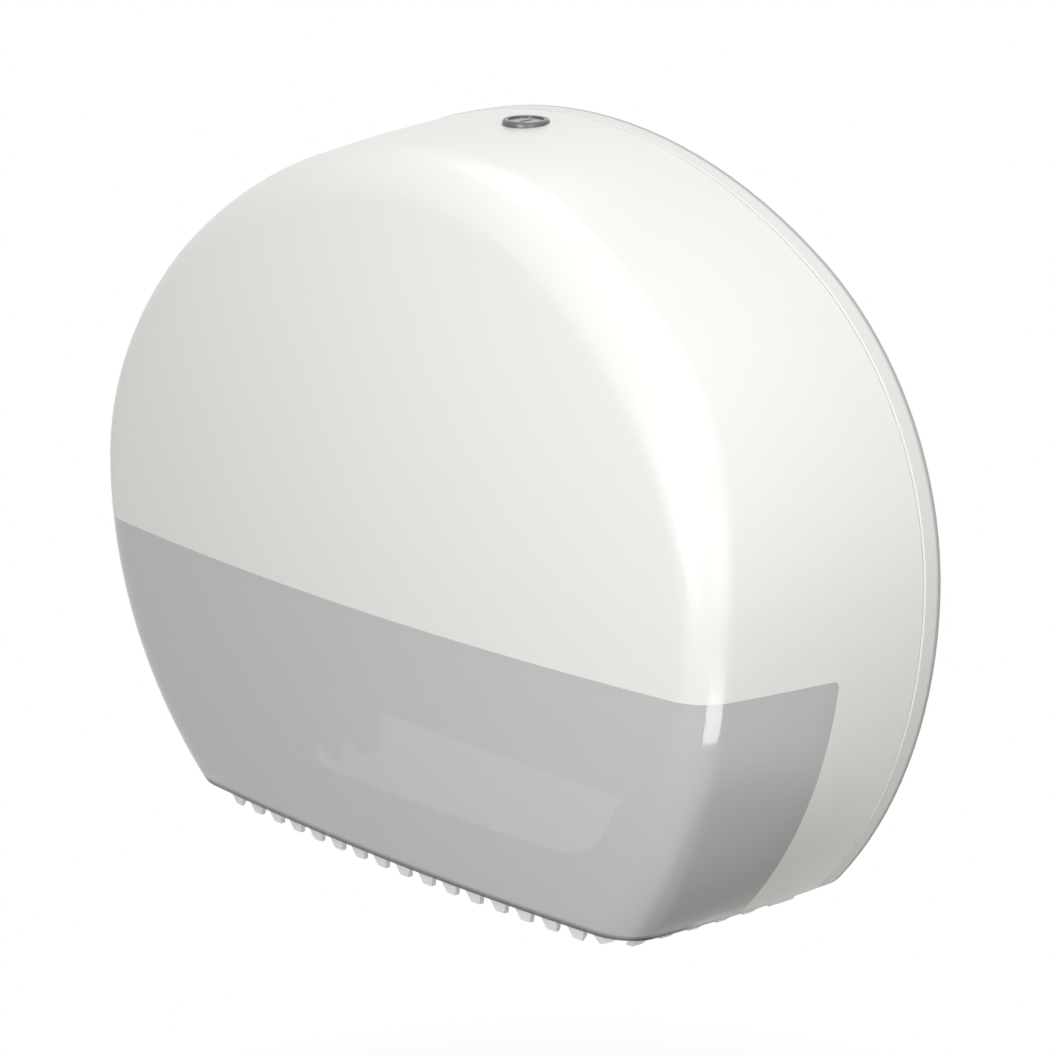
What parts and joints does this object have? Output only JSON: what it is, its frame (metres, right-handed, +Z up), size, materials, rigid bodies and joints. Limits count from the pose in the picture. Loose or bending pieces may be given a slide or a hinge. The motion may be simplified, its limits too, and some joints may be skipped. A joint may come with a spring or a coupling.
{
  "type": "jumbo toilet roll dispenser",
  "caption": "Wall-mounted jumbo toilet roll dispenser: domed hinged cover with a grey lower window, roll hubs, a lock on top and a toothed paper exit below.",
  "frame": {"origin": "centre of the wall slot pattern on the back plate's rear face", "axes": "+Z up, +X to the right as seen from the front, front of the dispenser towards -Y, wall at y = 0"},
  "size_m": [0.437, 0.133, 0.3295],
  "materials": {
    "white_plastic": "smooth gloss",
    "back_plastic": "satin",
    "window_plastic": "translucent grey plastic",
    "tray_plastic": "satin",
    "hub_plastic": "satin",
    "dark_plastic": "satin",
    "brake_felt": "pressed felt",
    "steel": "zinc plated",
    "lock_metal": "plated"
  },
  "bodies": {
    "body": {"back_plate": "back_plastic", "tear_tray": "tray_plastic", "tray_screws": "steel", "main_spindle": "dark_plastic", "main_spindle_screws": "steel", "main_washer": "brake_felt", "main_cap": "dark_plastic", "stub_spindle": "dark_plastic", "stub_spindle_screws": "steel", "stub_washer": "brake_felt", "stub_cap": "dark_plastic", "hinge_pins": "steel", "keeper": "steel", "keeper_screws": "steel"},
    "main_hub": {"main_hub": "hub_plastic"},
    "stub_hub": {"stub_hub": "hub_plastic"},
    "cover": {"cover_shell": "white_plastic", "window": "window_plastic", "window_rivets": "dark_plastic", "lock_barrel": "dark_plastic", "lock_nut": "lock_metal"},
    "lock": {"lock_plug": "lock_metal", "lock_hook": "steel", "lock_screw": "steel"}
  },
  "joints": [
    {"name": "cover_hinge", "type": "hinge", "parent": "body", "child": "cover", "pos_m": [0, -0.019, -0.159], "axis": [1, 0, 0], "range_deg": [0, 90]},
    {"name": "lock_turn", "type": "hinge", "parent": "cover", "child": "lock", "pos_m": [0, -0.033, 0.15], "axis": [0, 0, 1], "range_deg": [-90, 0]},
    {"name": "main_hub_spin", "type": "hinge", "parent": "body", "child": "main_hub", "pos_m": [-0.062, -0.05, 0], "axis": [0, 1, 0], "continuous": true},
    {"name": "stub_hub_spin", "type": "hinge", "parent": "body", "child": "stub_hub", "pos_m": [0.138, -0.05, -0.018], "axis": [0, 1, 0], "continuous": true}
  ]
}
